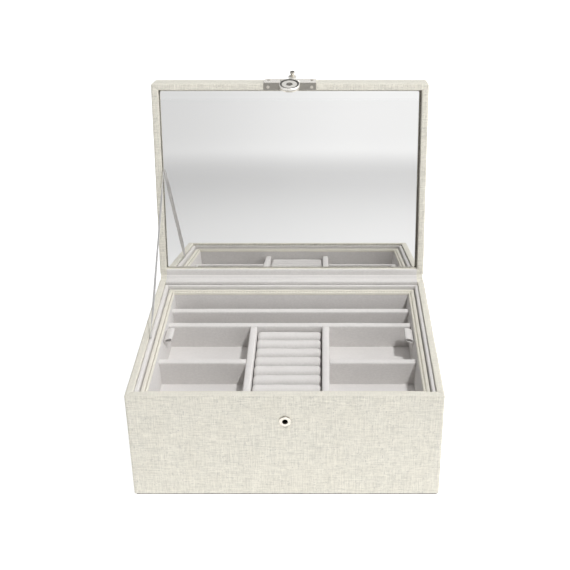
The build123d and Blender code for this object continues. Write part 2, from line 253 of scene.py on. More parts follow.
# ---- materials ----------------------------------------------------------------------
def slub_linen(cloth):
    """Plain-woven linen: round threads, uneven slubs both ways, and grey flecks."""
    recipe = material("slub_linen")
    u, v, _ = recipe.split(recipe.node("ShaderNodeUVMap", {"uv_map": THREADS}))
    base = rgba(cloth.linen)
    crossing = ((u / cloth.thread).whole() + (v / cloth.thread).whole()).pingpong()
    layers = []
    for across, along, seed, reach in ((u, v, 3.1, 32), (v, u, 17.7, 70)):
        thread = (across / cloth.thread).whole()
        slub = recipe.noise(recipe.vector(thread * 0.73, along * (1 / cloth.slub), seed), 1.0, 3.0, 0.6)
        band = recipe.noise(recipe.vector(across * 1800, along * reach, seed + 5), 1.0, 2.0, 0.55)
        cell = (across / (1.5 * cloth.thread)).whole()
        fleck = recipe.noise(recipe.vector(cell * 1.37, along * 260, seed + 9), 1.0, 1.0, 0.5)
        round_thread = (across / cloth.thread).wave()
        layers.append((round_thread, slub, band, fleck.between(0.66, 0.74)))
    (warp, warp_slub, warp_band, warp_fleck), (weft, weft_slub, weft_band, weft_fleck) = layers
    tone = (warp_slub + weft_slub) * 0.5 + (warp_band + weft_band) * 0.5
    flecks = warp_fleck.highest(weft_fleck * 0.8)
    cloud = recipe.noise(recipe.place(), 38.0, 3.0, 0.6)
    depth = cloth.slub_depth
    colour = recipe.tint(tone.between(0.72, 1.28), base, 1 - depth, 1 + 0.5 * depth)
    colour = recipe.mix(cloud.between(0.3, 0.7) * 0.2, colour, rgba(cloth.linen_warm))
    colour = recipe.mix(flecks * cloth.fleck, colour, rgba(cloth.linen_fleck))
    weave = warp * (0.4 + warp_slub) * (1 - crossing) + weft * (0.4 + weft_slub) * crossing
    colour = recipe.mix((1 - weave).between(0.35, 1.0) * 0.35, colour, shade(base, 0.62))
    # Painted highlight: faces that look up are lightened, standing in for the stronger light that falls
    # on tops.
    upward = recipe.split(recipe.facing())[2]
    colour = recipe.mix(upward.between(0.4, 0.95) * 0.5, colour, shade(base, 1.24))
    normal = recipe.bump(weave + 1.2 * tone, 0.22 * MM, 0.55)
    return recipe.surface({
        "Base Color": colour, "Roughness": 0.82, "Normal": normal,
        "Sheen Weight": 0.12, "Sheen Roughness": 0.5, "Specular IOR Level": 0.25,
    })


def napped_velvet(cloth):
    """Short-pile velvet: a fine nap, brushed patches and a soft sheen."""
    recipe = material("napped_velvet")
    place = recipe.place()
    pile = recipe.noise(place, 2600.0, 2.0, 0.7)
    nap = recipe.noise(recipe.scaled(place, (420.0, 420.0, 700.0)), 1.0, 4.0, 0.65)
    brushed = recipe.noise(place, 46.0, 3.0, 0.6)
    base = rgba(cloth.velvet)
    colour = recipe.tint(nap.between(0.3, 0.7), base, 0.94, 1.04)
    colour = recipe.mix(brushed.between(0.35, 0.75) * 0.30, colour, shade(base, 0.90))
    colour = recipe.mix(pile.between(0.30, 0.72) * 0.22, colour, shade(base, 1.12))
    # Painted highlight: faces that look up are lightened, standing in for the stronger light that falls
    # on tops.
    upward = recipe.split(recipe.facing())[2]
    colour = recipe.mix(upward.between(0.5, 0.95) * 0.45, colour, shade(base, 1.30))
    normal = recipe.bump(pile + nap * 1.5, 0.10 * MM, 0.5)
    return recipe.surface({
        "Base Color": colour, "Roughness": brushed.between(0.3, 0.7, 0.86, 1.0), "Normal": normal,
        "Sheen Weight": 0.35, "Sheen Roughness": 0.35, "Sheen Tint": (1.0, 0.98, 0.96, 1.0),
        "Specular IOR Level": 0.15,
    })


def cream_leatherette(cloth):
    """Coated cloth with a pressed pebble grain, a little darker in its creases."""
    recipe = material("cream_leatherette")
    place = recipe.place()
    pebbles = {"Vector": place, "Scale": 950.0}
    cells = recipe.node("ShaderNodeTexVoronoi", {"feature": "DISTANCE_TO_EDGE"}, pebbles)
    grain = cells.between(0.0, 0.09)
    wear = recipe.noise(place, 120.0, 4.0, 0.6)
    base = rgba(cloth.leatherette)
    colour = recipe.mix((1 - grain) * 0.3, recipe.tint(wear, base, 0.93, 1.05), shade(base, 0.8))
    normal = recipe.bump(grain + wear, 0.06 * MM, 0.6)
    return recipe.surface({
        "Base Color": colour, "Roughness": wear.between(0.3, 0.7, 0.42, 0.6), "Normal": normal,
    })


def brushed_metal(name, base, smooth, rough, lines):
    """Plated metal with fine drawn lines and faint handling marks."""
    recipe = material(name)
    place = recipe.place()
    drawn = recipe.noise(recipe.scaled(place, (90.0, lines, lines)), 1.0, 3.0, 0.6)
    smudge = recipe.noise(place, 160.0, 3.0, 0.6)
    colour = recipe.tint(drawn, rgba(base), 0.86, 1.06)
    roughness = drawn.between(0.2, 0.8, smooth, rough) + smudge.between(0.45, 0.8) * 0.08
    normal = recipe.bump(drawn, 0.02 * MM, 0.35)
    return recipe.surface({
        "Base Color": colour, "Metallic": 1.0, "Roughness": roughness, "Normal": normal,
    })


def plating_with_painted_shade(recipe, cloth, plating, dark, dull=0.0, metallic=1.0):
    """Plating with fine drawn lines, with painted shade, mottled, where dark says, and more satin by
    dull.
    """
    place = recipe.place()
    drawn = recipe.noise(recipe.scaled(place, (90.0, 3800.0, 3800.0)), 1.0, 3.0, 0.6)
    painted_shade_mottle = recipe.noise(place, 1500.0, 2.0, 0.6).between(0.55, 0.75)
    colour = recipe.tint(drawn, plating, 0.92, 1.08)
    # Painted shade: the colour is darkened, with a mottle, wherever dark says.
    colour = recipe.mix(dark + painted_shade_mottle * dark * 0.5, colour, shade(cloth.nickel, 0.10))
    return recipe.surface({
        "Base Color": colour, "Metallic": metallic, "Normal": recipe.bump(drawn, 0.02 * MM, 0.35),
        "Roughness": drawn.between(0.2, 0.8, 0.16, 0.30) + dark * 0.25 + dull,
    })


def clasp_plate_metal(cloth):
    """The clasp plate's plating, with painted shade that darkens its lip."""
    recipe = material("plate_nickel")
    lip = OPENED.to_3x3() @ Vector((0, 0, -1))
    towards_lip = recipe.vector_maths("DOT_PRODUCT", recipe.facing(), lip, output=1)
    return plating_with_painted_shade(recipe, cloth, cloth.nickel, towards_lip.between(0.75, 0.95) * 0.52)


def disc_metal(cloth):
    """The turning disc's satin plating, with a dark ring of painted shade round it, standing in for a
    groove.
    """
    recipe = material("disc_nickel")
    low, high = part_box("latch_pivot_screw")
    broadest = max(frame["nodes"]["latch_disc"].data.polygons, key=lambda face: face.area)
    from_middle = recipe.vector_maths("SUBTRACT", recipe.place(), (low + high) / 2)
    swept = recipe.vector_maths("CROSS_PRODUCT", from_middle, broadest.normal.copy())
    radius = recipe.vector_maths("LENGTH", swept, output=1)
    inner, outer, soft = 7.6 * MM, 9.6 * MM, 0.25 * MM
    inside = radius.between(inner - soft, inner + soft)
    outside = radius.between(outer - soft, outer + soft)
    return plating_with_painted_shade(recipe, cloth, cloth.disc, inside * (1 - outside) * 0.9, 0.22, 0.55)


def silvered_glass(cloth):
    """Mirror plate: clean silvering with the faintest haze."""
    recipe = material("silvered_glass")
    haze = recipe.noise(recipe.place(), 22.0, 2.0, 0.5)
    colour = recipe.tint(haze, rgba(cloth.mirror), 0.985, 1.01)
    roughness = haze.between(0.3, 0.8, 0.0, 0.012)
    return recipe.surface({"Base Color": colour, "Metallic": 1.0, "Roughness": roughness})


def greyboard():
    """Box board: pressed grey fibres."""
    recipe = material("greyboard")
    place = recipe.place()
    fibre = recipe.noise(recipe.scaled(place, (300.0, 900.0, 900.0)), 1.0, 4.0, 0.7)
    colour = recipe.tint(fibre.between(0.3, 0.7), (0.33, 0.31, 0.28, 1.0), 0.8, 1.15)
    normal = recipe.bump(fibre, 0.1 * MM, 0.6)
    return recipe.surface({"Base Color": colour, "Roughness": 0.92, "Normal": normal})


def wool_felt(cloth):
    """Pressed felt: a dark tangle of short fibres with paler hairs."""
    recipe = material("wool_felt")
    place = recipe.place()
    tangle = recipe.noise(place, 1400.0, 5.0, 0.75)
    hairs = recipe.noise(recipe.scaled(place, (2200.0, 500.0, 1500.0)), 1.0, 3.0, 0.7).between(0.62, 0.75)
    base = rgba(cloth.felt)
    colour = recipe.mix(hairs * 0.4, recipe.tint(tangle, base, 0.6, 1.4), shade(base, 3.0))
    normal = recipe.bump(tangle, 0.2 * MM, 0.8)
    return recipe.surface({"Base Color": colour, "Roughness": 1.0, "Normal": normal, "Sheen Weight": 0.3})


def ribbed_ribbon(cloth):
    """Grosgrain: fine ribs across the ribbon and a firm edge."""
    recipe = material("ribbed_ribbon")
    u, v, _ = recipe.split(recipe.node("ShaderNodeUVMap", {"uv_map": THREADS}))
    rib = (v / (0.55 * MM)).wave()
    slub = recipe.noise(recipe.vector(u * 900, v * 300), 1.0, 2.0, 0.5)
    base = rgba(cloth.ribbon)
    colour = recipe.mix((1 - rib) * 0.5, recipe.tint(slub, base, 0.92, 1.05), shade(base, 0.72))
    normal = recipe.bump(rib, 0.12 * MM, 0.8)
    return recipe.surface({"Base Color": colour, "Roughness": 0.6, "Normal": normal, "Sheen Weight": 0.2})


def spun_thread(cloth):
    """Sewing thread: two plies with a spiral between them."""
    recipe = material("spun_thread")
    x, y, z = recipe.split(recipe.place())
    ply = ((x + y + 2 * z) / (0.35 * MM)).wave()
    base = rgba(cloth.thread_colour)
    colour = recipe.mix((1 - ply) * 0.5, base, shade(base, 0.6))
    normal = recipe.bump(ply, 0.05 * MM, 0.7)
    return recipe.surface({"Base Color": colour, "Roughness": 0.7, "Normal": normal})


# ---- meshes -------------------------------------------------------------------------
def loft(rings, wrap=False, caps=True):
    """A surface through rings of points. It wraps round to the first ring, or both ends are capped."""
    mesh = bmesh.new()
    rows = [[mesh.verts.new(point) for point in ring] for ring in rings]
    pairs = list(zip(rows, rows[1:]))
    if wrap:
        pairs.append((rows[-1], rows[0]))
    for one, two in pairs:
        for n, vertex in enumerate(one):
            beside = (n + 1) % len(one)
            mesh.faces.new((vertex, one[beside], two[beside], two[n]))
    if caps and not wrap:
        mesh.faces.new(rows[0])
        mesh.faces.new(list(reversed(rows[-1])))
    bmesh.ops.recalc_face_normals(mesh, faces=mesh.faces)
    return mesh


def arc(centre, radius, start, end, steps=5):
    """Points of an arc in a flat outline, angles in degrees."""
    angles = [math.radians(start + (end - start) * n / steps) for n in range(steps + 1)]
    return [(centre[0] + radius * math.cos(a), centre[1] + radius * math.sin(a)) for a in angles]


def evenly(start, end, step):
    """Places from start to end, about step apart, with one close to each end."""
    count = max(2, round(abs(end - start) / step))
    inner = [start + (end - start) * n / count for n in range(1, count)]
    near = 0.45 * MM * (1 if end > start else -1)
    return [start, start + near] + inner + [end - near, end]


def frame_bar(box, side, outline, step=6 * MM, dip=0.25 * MM):
    """One side of a mitred frame. outline holds (distance in from the box, height) points; the ends
    shrink by dip, which leaves a fine line along the mitre."""
    low, high = box
    corners = [Vector((x, low.y, 0)) for x in (low.x, high.x)]
    corners += [Vector((x, high.y, 0)) for x in (high.x, low.x)]
    turn = ("front", "right", "back", "left").index(side)
    a, b = corners[turn], corners[(turn + 1) % 4]
    along = (b - a).normalized()
    inward = Vector((-along.y, along.x, 0))
    centre = Vector((sum(d for d, _ in outline), sum(z for _, z in outline))) / len(outline)
    length = (b - a).length
    rings = []
    stations = evenly(0.0, length, step)
    for n, at in enumerate(stations):
        ring = []
        for d, z in outline:
            if n in (0, len(stations) - 1):
                shift = (centre - Vector((d, z))).normalized() * dip
                d, z = d + shift.x, z + shift.y
            place = d + (length - 2 * d) * at / length
            ring.append(a + along * place + inward * d + Vector((0, 0, z)))
        rings.append(ring)
    return loft(rings)


def rounded_loop(box, radius, inset, step, crease):
    """Points round a rounded rectangle, moved in by inset. crease lowers its corners' middles."""
    low, high = box
    turn_radius = max(radius - inset, 0.12 * MM)
    reach = inset + turn_radius
    centres = [
        (low.x + reach, low.y + reach, 180), (high.x - reach, low.y + reach, 270),
        (high.x - reach, high.y - reach, 0), (low.x + reach, high.y - reach, 90),
    ]
    loop = []
    steps = 6
    sharp = inset >= radius
    for n, (x, y, start) in enumerate(centres):
        turn = arc((x, y), turn_radius, start, start + 90, steps)
        for k, (px, py) in enumerate(turn):
            loop.append(Vector((px, py, crease if sharp or k == steps // 2 else 0.0)))
        nx, ny, next_start = centres[(n + 1) % 4]
        ahead = arc((nx, ny), turn_radius, next_start, next_start + 90, 1)[0]
        here = turn[-1]
        span = math.dist(here, ahead)
        length = (high.y - low.y) if n % 2 else (high.x - low.x)
        for at in evenly(0.0, length, step)[1:-1]:
            share = at / length
            if at < MM:
                share = min(0.45 * MM / max(span, MM), 0.4)
            x_at, y_at = (a + (b - a) * share for a, b in zip(here, ahead))
            loop.append(Vector((x_at, y_at, 0)))
    return loop


def wrapped_skin(box, radius, outline, step=7 * MM, closed=True):
    """Cloth wrapped round a box. outline holds (inset, height, crease) points."""
    rings = []
    for inset, z, crease in outline:
        rings.append([p + Vector((0, 0, z)) for p in rounded_loop(box, radius, inset, step, crease)])
    return loft(rings, wrap=closed)


def four_sides(box, outline, size, amount, seed, step=6 * MM, dip=0.25 * MM):
    """The names and meshes of a mitred frame's sides, each a little uneven."""
    for side in SIDES:
        mesh = frame_bar(box, side, outline, step, dip)
        uneven(mesh, size, amount, seed)
        yield side, mesh


def bar(start, end, outline, swell, step=5 * MM):
    """A bar from start to end, whose cross-section is outline: (sideways, up) points. swell holds
    (distance from an end, scale) pairs that round the ends off."""
    start, end = Vector(start), Vector(end)
    along = (end - start).normalized()
    sideways = Vector((-along.y, along.x, 0))
    length = (end - start).length
    rows = max(2, round(length / step))
    places = {n * length / rows for n in range(1, rows)}
    for near, _ in swell:
        places.update((near, length - near))
    base = min(z for _, z in outline)
    rings = []
    for at in sorted(places):
        from_end = min(at, length - at)
        scale = next((s for near, s in swell if abs(from_end - near) < 1e-9), 1.0)
        rings.append([
            start + along * at + sideways * (s * scale) + Vector((0, 0, base + (z - base) * scale))
            for s, z in outline
        ])
    return loft(rings)


def thickened(line, half_thick):
    """The outline of a strip whose middle follows line, points that differ in Y and Z only."""
    upper, lower = [], []
    for n, point in enumerate(line):
        run = (line[min(n + 1, len(line) - 1)] - line[max(n - 1, 0)]).normalized()
        beside = Vector((0, -run.z, run.y)) * half_thick
        upper.append(point + beside)
        lower.append(point - beside)
    return upper + lower[::-1]


def uneven(mesh, size, amount, seed=0.0):
    """Moves each vertex a little along its normal, so that cloth doesn't look machined."""
    mesh.normal_update()
    shift = Vector((seed, seed * 2, -seed))
    for vertex in mesh.verts:
        vertex.co += vertex.normal * noise.noise((vertex.co + shift) / size) * amount


def lay_threads(mesh):
    """Threads run along the piece's own axes on each face, in metres."""
    layer = mesh.loops.layers.uv.new(THREADS)
    for face in mesh.faces:
        n = face.normal
        steep = max(range(3), key=lambda i: abs(n[i]))
        one, two = ((1, 2), (0, 2), (0, 1))[steep]
        for corner in face.loops:
            corner[layer].uv = (corner.vert.co[one], corner.vert.co[two])


def make(name, mesh, finish, place=None, sharp=40):
    """Turns a bmesh into a shown piece with its finish."""
    mesh.normal_update()
    lay_threads(mesh)
    if place is not None:
        bmesh.ops.transform(mesh, matrix=place, verts=mesh.verts)
    data = bpy.data.meshes.new(name)
    mesh.to_mesh(data)
    mesh.free()
    data.shade_smooth()
    data.set_sharp_from_angle(angle=math.radians(sharp))
    data.materials.append(finish)
    made = bpy.data.objects.new(name, data)
    bpy.context.scene.collection.objects.link(made)
    return made


def settle(made, body, slot, *nodes):
    """Rides a piece on its body, and lets it stand for its CAD nodes."""
    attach(made, body)
    if nodes:
        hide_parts(*nodes)
    return made


def coat(node, finish, bevel=0.0):
    """Gives a CAD node its finish, with softened edges if bevel says how much."""
    piece = frame["nodes"][node]
    piece.data.materials.clear()
    piece.data.materials.append(finish)
    if bevel:
        weld = piece.modifiers.new("weld", "WELD")
        weld.merge_threshold = 0.01 * MM
        edge = piece.modifiers.new("softened edges", "BEVEL")
        edge.width = bevel
        edge.segments = 2
        edge.limit_method = "ANGLE"
        edge.angle_limit = math.radians(35)
        edge.harden_normals = False


def puff(made, cap, pressure=4.0, frames=12):
    """Blows a padded piece up a little as cloth, and keeps the result on its mesh."""
    before = [v.co.copy() for v in made.data.vertices]
    cloth = made.modifiers.new("padding", "CLOTH")
    cloth.settings.use_pressure = True
    cloth.settings.uniform_pressure_force = pressure
    cloth.settings.effector_weights.gravity = 0.0
    cloth.settings.quality = 4
    cloth.collision_settings.use_collision = False
    cloth.point_cache.frame_start = 1
    cloth.point_cache.frame_end = frames
    scene = bpy.context.scene
    for step in range(1, frames + 1):
        scene.frame_set(step)
    view = bpy.context.evaluated_depsgraph_get()
    after = [v.co.copy() for v in made.evaluated_get(view).data.vertices]
    made.modifiers.remove(cloth)
    scene.frame_set(1)
    for vertex, old, new in zip(made.data.vertices, before, after):
        move = new - old
        vertex.co = old + move * min(1.0, cap / max(move.length, 1e-9))


# ---- settings -----------------------------------------------------------------------
def colour_setting(name, description, default):
    return bpy.props.FloatVectorProperty(
        name=name, description=description, default=default, size=3, min=0.0, max=1.0, subtype="COLOR"
    )


def number_setting(name, description, default, **kind):
    return bpy.props.FloatProperty(name=name, description=description, default=default, min=0.0, **kind)


LENGTH = {"subtype": "DISTANCE", "unit": "LENGTH"}
SHARE = {"subtype": "FACTOR", "max": 1.0}


class ChestCloth(bpy.types.PropertyGroup):
    """Colours and thread sizes of the chest's finishes."""

    linen: colour_setting("Linen", "Mean colour of the linen", (0.77, 0.745, 0.66))
    linen_warm: colour_setting("Warm linen", "Colour that the linen clouds towards", (0.78, 0.735, 0.63))
    linen_fleck: colour_setting("Fleck", "Colour of the grey flecks", (0.40, 0.385, 0.36))
    thread: number_setting("Thread", "Distance between linen threads", 0.72 * MM, **LENGTH)
    slub: number_setting("Slub", "Length of a thick stretch of thread", 8 * MM, **LENGTH)
    slub_depth: number_setting("Slub depth", "How much darker and lighter the slubs are", 0.26, **SHARE)
    fleck: number_setting("Fleck strength", "How strongly the flecks show", 0.42, **SHARE)
    velvet: colour_setting("Velvet", "Colour of the velvet", (0.68, 0.66, 0.645))
    leatherette: colour_setting("Leatherette", "Colour of the tray's border", (0.81, 0.78, 0.69))
    thread_colour: colour_setting("Stitching", "Colour of the sewing thread", (0.50, 0.47, 0.40))
    ribbon: colour_setting("Ribbon", "Colour of the stay ribbon", (0.60, 0.59, 0.58))
    mirror: colour_setting("Mirror", "Tint of the mirror's silvering", (0.86, 0.86, 0.855))
    nickel: colour_setting("Nickel", "Colour of the clasp's plating", (0.68, 0.645, 0.58))
    disc: colour_setting("Disc", "Colour of the turning disc's plating", (0.93, 0.91, 0.86))
    steel: colour_setting("Hinge", "Colour of the back hinges", (0.42, 0.40, 0.37))
    felt: colour_setting("Felt", "Colour of the felt base", (0.07, 0.065, 0.06))


class ChestStage(bpy.types.PropertyGroup):
    """Lights, floor and camera."""

    key: number_setting("Key light", "Power of the light high on the right", 25.0, unit="POWER")
    fill: number_setting("Fill light", "Power of the soft light in front", 0.5, unit="POWER")
    top: number_setting("Top light", "Power of the overhead light", 5.0, unit="POWER")
    sky: number_setting("Surroundings", "Brightness of the room's white walls", 1.05)
    floor_glow: number_setting("Floor", "How much the floor's own white lifts its shadows", 0.80)
    lens: number_setting("Lens", "Focal length of the camera", 61.19, unit="CAMERA")


FINISH = {}  # every material, by the short name that the steps below use


# ---- operators ----------------------------------------------------------------------
class MixFinishes(bpy.types.Operator):
    """Make every material of the chest"""

    bl_idname = "chest.mix_finishes"
    bl_label = "Mix finishes"

    def execute(self, context):
        cloth = context.scene.chest_cloth
        FINISH.update(
            linen=slub_linen(cloth), velvet=napped_velvet(cloth), leatherette=cream_leatherette(cloth),
            nickel=brushed_metal("clasp_nickel", cloth.nickel, 0.16, 0.30, 3800.0),
            steel=brushed_metal("hinge_steel", cloth.steel, 0.28, 0.45, 2600.0),
            polish=brushed_metal("knob_nickel", cloth.nickel, 0.06, 0.14, 3800.0),
            # Painted shade: the strike's cup and snap ring get near-black metal, standing in for the
            # shade inside the strike's hole.
            dark=brushed_metal("strike_cup_painted_shade", shade(cloth.steel, 0.03), 0.5, 0.7, 2600.0),
            plate=clasp_plate_metal(cloth), disc=disc_metal(cloth),
            mirror=silvered_glass(cloth), board=greyboard(), felt=wool_felt(cloth),
            ribbon=ribbed_ribbon(cloth), stitching=spun_thread(cloth),
        )
        return {"FINISHED"}


def rim_outline(top, foot, turned_to):
    """The linen's section from foot over the rim at top and down inside to turned_to. The lid hangs
    from its foot, so its rim is below it."""
    up = 1 if top > foot else -1
    crease = -0.30 * MM * up
    start = foot + up * 0.9 * MM
    points = [(0.7 * MM, foot, 0), (0.2 * MM, foot + up * 0.25 * MM, 0), (0.0, start, 0)]
    rise = top - up * OUTER_BEND - start
    rows = max(2, round(abs(rise) / (9 * MM)))
    points += [(0.0, start + rise * n / rows, 0) for n in range(1, rows + 1)]
    for n in range(1, 6):
        angle = math.radians(18 * n)
        inset = OUTER_BEND * (1 - math.cos(angle))
        points.append((inset, top - up * OUTER_BEND * (1 - math.sin(angle)), crease * (n / 5)))
    for n in (1, 2, 3):
        inset = OUTER_BEND + (RIM - OUTER_BEND - INNER_BEND) * n / 4
        points.append((inset, top + up * 0.08 * MM * math.sin(math.pi * n / 4), crease))
    for n in range(5):
        angle = math.radians(22.5 * n)
        inset = RIM - INNER_BEND * (1 - math.sin(angle))
        points.append((inset, top - up * INNER_BEND * (1 - math.cos(angle)), crease))
    under = top - up * LINEN_SKIN * 1.6
    inside = LINEN_SKIN * 1.2
    points += [(RIM, turned_to, 0), (RIM - LINEN_SKIN, turned_to, 0), (RIM - LINEN_SKIN, under, 0)]
    points += [(OUTER_BEND, under, 0), (inside, top - up * (OUTER_BEND + LINEN_SKIN), 0)]
    return points + [(inside, foot + up * MM, 0)]


class WrapLinen(bpy.types.Operator):
    """Wrap case and lid in linen, turned over their rims"""

    bl_idname = "chest.wrap_linen"
    bl_label = "Linen"

    def execute(self, context):
        mesh = wrapped_skin(CASE, CORNER, rim_outline(CASE[1].z, CASE[0].z, LINING_TOP))
        uneven(mesh, 26 * MM, 0.16 * MM)
        for vertex in mesh.verts:
            vertex.co.z = min(vertex.co.z, CASE[1].z - RIM_CLEAR)
        made = make("case_linen", mesh, FINISH["linen"])
        self.cut_strike_hole(made)
        settle(made, "case", "linen", "case_linen_wrap")
        rim, top, skin = LID[0].z, LID[1].z, LINEN_SKIN
        outline = rim_outline(rim, top, LID_BACKING[0].z + 0.4 * MM)
        spread = (8, 20, 34, 48, 62, 76, 90, 100)
        over = [(d * MM, top, 0) for d in reversed(spread)]
        for angle in (math.radians(18 * n) for n in range(6)):
            over.append((CORNER * (1 - math.sin(angle)), top - CORNER * (1 - math.cos(angle)), 0))
        under = [(skin * 1.2, top - CORNER, 0), (CORNER, top - skin, 0)]
        under += [(d * MM, top - skin, 0) for d in spread]
        mesh = wrapped_skin(LID, CORNER, over + outline[3:-1] + under, closed=False)
        uneven(mesh, 26 * MM, 0.16 * MM, 3.0)
        for vertex in mesh.verts:
            vertex.co.z = max(vertex.co.z, rim + RIM_CLEAR)
        settle(make("lid_linen", mesh, FINISH["linen"], OPENED), "lid", "linen", "lid_linen_wrap")
        return {"FINISHED"}

    def cut_strike_hole(self, made):
        """A round hole through the linen, so that the strike's cup is open."""
        low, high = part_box("strike_cup")
        shape = bmesh.new()
        place = Matrix.Translation((low + high) / 2) @ Matrix.Rotation(math.radians(90), 4, "X")
        wide = {"radius1": (high.x - low.x) / 2, "radius2": (high.x - low.x) / 2, "depth": 12 * MM}
        bmesh.ops.create_cone(shape, cap_ends=True, segments=32, matrix=place, **wide)
        cutter = make("strike_hole_cutter", shape, FINISH["linen"])
        cut = made.modifiers.new("strike hole", "BOOLEAN")
        cut.operation = "DIFFERENCE"
        cut.object = cutter
        view = bpy.context.evaluated_depsgraph_get()
        holed = bpy.data.meshes.new_from_object(made.evaluated_get(view))
        made.modifiers.remove(cut)
        made.data = holed
        bpy.data.objects.remove(cutter)


class LineCase(bpy.types.Operator):
    """Cover the four lining boards with velvet"""

    bl_idname = "chest.line_case"
    bl_label = "Case lining"

    def execute(self, context):
        low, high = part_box("lining_left")[0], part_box("lining_right")[1]
        box = (low, Vector((high.x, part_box("lining_back")[1].y, high.z)))
        box[0].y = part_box("lining_front")[0].y
        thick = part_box("lining_left")[1].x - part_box("lining_left")[0].x
        off, bend = 0.3 * MM, LINING_BEND
        outline = [(off, low.z), (off, LINING_TOP - bend)]
        outline += arc((off + bend, LINING_TOP - bend), bend, 180, 90)
        outline += arc((thick - bend, LINING_TOP - bend), bend, 90, 0)
        outline += [(thick, LINING_TOP - 20 * MM), (thick, low.z)]
        for side, mesh in four_sides(box, outline, 14 * MM, 0.12 * MM, 5.0):
            made = make(f"velvet_lining_{side}", mesh, FINISH["velvet"])
            settle(made, "case", "velvet", f"lining_{side}")
        return {"FINISHED"}


class BindTray(bpy.types.Operator):
    """Make the tray's cream border in four mitred sides, with its row of stitches"""

    bl_idname = "chest.bind_tray"
    bl_label = "Tray border"

    def execute(self, context):
        top, foot = TRAY_TOP, TRAY[0].z
        outline = [(0.0, foot), (0.0, top - 1.2 * MM)]
        outline += arc((1.2 * MM, top - 1.2 * MM), 1.2 * MM, 180, 90)
        outline += arc((BEAD_IN - 1.1 * MM, top - 1.1 * MM), 1.1 * MM, 90, 10)
        bed = top - GROOVE_DROP
        outline += [(GROOVE_IN - 0.15 * MM, bed - 0.25 * MM), (GROOVE_IN + 0.1 * MM, bed)]
        outline += arc((GROOVE_IN + 1.0 * MM, bed - 0.3 * MM), 0.8 * MM, 140, 60, 4)
        outline += arc((EDGE_IN - 0.6 * MM, top - 1.9 * MM), 0.6 * MM, 60, 0, 3)
        outline += [(EDGE_IN, top - 3.4 * MM), (TRAY_BOARD, top - 3.6 * MM), (TRAY_BOARD, foot)]
        for side, mesh in four_sides(TRAY, outline, 18 * MM, 0.10 * MM, 9.0, 5 * MM, 0.3 * MM):
            made = make(f"tray_border_{side}", mesh, FINISH["leatherette"])
            settle(made, "tray", "leatherette", f"tray_{side}_wall")
        made = make("tray_border_stitches", self.stitches(), FINISH["stitching"])
        settle(made, "tray", "leatherette")
        return {"FINISHED"}

    def stitches(self):
        """Short stitches in the groove, one after another round the border."""
        mesh = bmesh.new()
        pitch, long, thick = 3.0 * MM, 2.1 * MM, 0.42 * MM
        z = TRAY_TOP - GROOVE_DROP + 0.05 * MM
        low, high = TRAY
        wide, deep = high.x - low.x - 2 * GROOVE_IN, high.y - low.y - 2 * GROOVE_IN
        middle = Matrix.Translation(((low.x + high.x) / 2, (low.y + high.y) / 2, z))
        shape = Matrix.Diagonal((long / 2, thick, thick * 0.8, 1))
        for quarter in range(4):
            length, reach = (deep, wide / 2) if quarter % 2 else (wide, deep / 2)
            turned = middle @ Matrix.Rotation(math.radians(90 * quarter), 4, "Z")
            count = int((length - 3 * MM) / pitch)
            for n in range(count):
                at = Matrix.Translation(((n - (count - 1) / 2) * pitch, -reach, 0))
                bmesh.ops.create_icosphere(mesh, subdivisions=2, radius=1.0, matrix=turned @ at @ shape)
        return mesh


class LineTray(bpy.types.Operator):
    """Pad the tray's walls with velvet that swells towards the floor"""

    bl_idname = "chest.line_tray"
    bl_label = "Tray walls"

    def execute(self, context):
        top, foot = TRAY_TOP - 2.6 * MM, TRAY_FLOOR - 0.5 * MM
        inner, swell = TRAY_BOARD + 1.5 * MM, 2.3 * MM
        outline = [(TRAY_BOARD, foot), (TRAY_BOARD, top - 0.8 * MM), (TRAY_BOARD + 0.5 * MM, top)]
        for n in range(0, 11):
            share = n / 10
            out = swell * math.sin(0.5 * math.pi * min(1.0, share * 1.5)) ** 1.5
            down = (top - 0.3 * MM - foot) * share
            outline.append((inner - 0.35 * MM * (n == 0) + out, top - 0.3 * MM - down))
        for side, mesh in four_sides(TRAY, outline, 16 * MM, 0.22 * MM, 12.0, 5 * MM, 0.0):
            piece = make(f"tray_velvet_{side}", mesh, FINISH["velvet"])
            settle(piece, "tray", "velvet")
        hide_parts("tray_wall_velvet")
        return {"FINISHED"}


class PadDividers(bpy.types.Operator):
    """Cover the tray's six dividers with velvet over rounded tops"""

    bl_idname = "chest.pad_dividers"
    bl_label = "Dividers"

    def execute(self, context):
        for name in ("back", "middle", "ring_left", "ring_right", "cross_left", "cross_right"):
            low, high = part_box(f"divider_{name}")
            centre, size = (low + high) / 2, high - low
            long_x = size.x > size.y
            half = (size.y if long_x else size.x) / 2
            bend = 1.9 * MM
            top = high.z + 0.1 * MM
            outline = [(-half, low.z), (-half + 0.15 * MM, low.z + 12 * MM), (-half, top - bend)]
            outline += arc((-half + bend, top - bend), bend, 180, 90)[1:]
            outline += [(0.0, top + 0.12 * MM)]
            outline += arc((half - bend, top - bend), bend, 90, 0)
            outline += [(half - 0.15 * MM, low.z + 12 * MM), (half, low.z)]
            ends = [Vector((low.x, centre.y, 0)), Vector((high.x, centre.y, 0))]
            if not long_x:
                ends = [Vector((centre.x, low.y, 0)), Vector((centre.x, high.y, 0))]
            mesh = bar(*ends, outline, [(0.0, 0.985), (0.5 * MM, 0.997)])
            uneven(mesh, 15 * MM, 0.16 * MM, len(name))
            made = make(f"velvet_divider_{name}", mesh, FINISH["velvet"])
            settle(made, "tray", "velvet", f"divider_{name}")
        return {"FINISHED"}


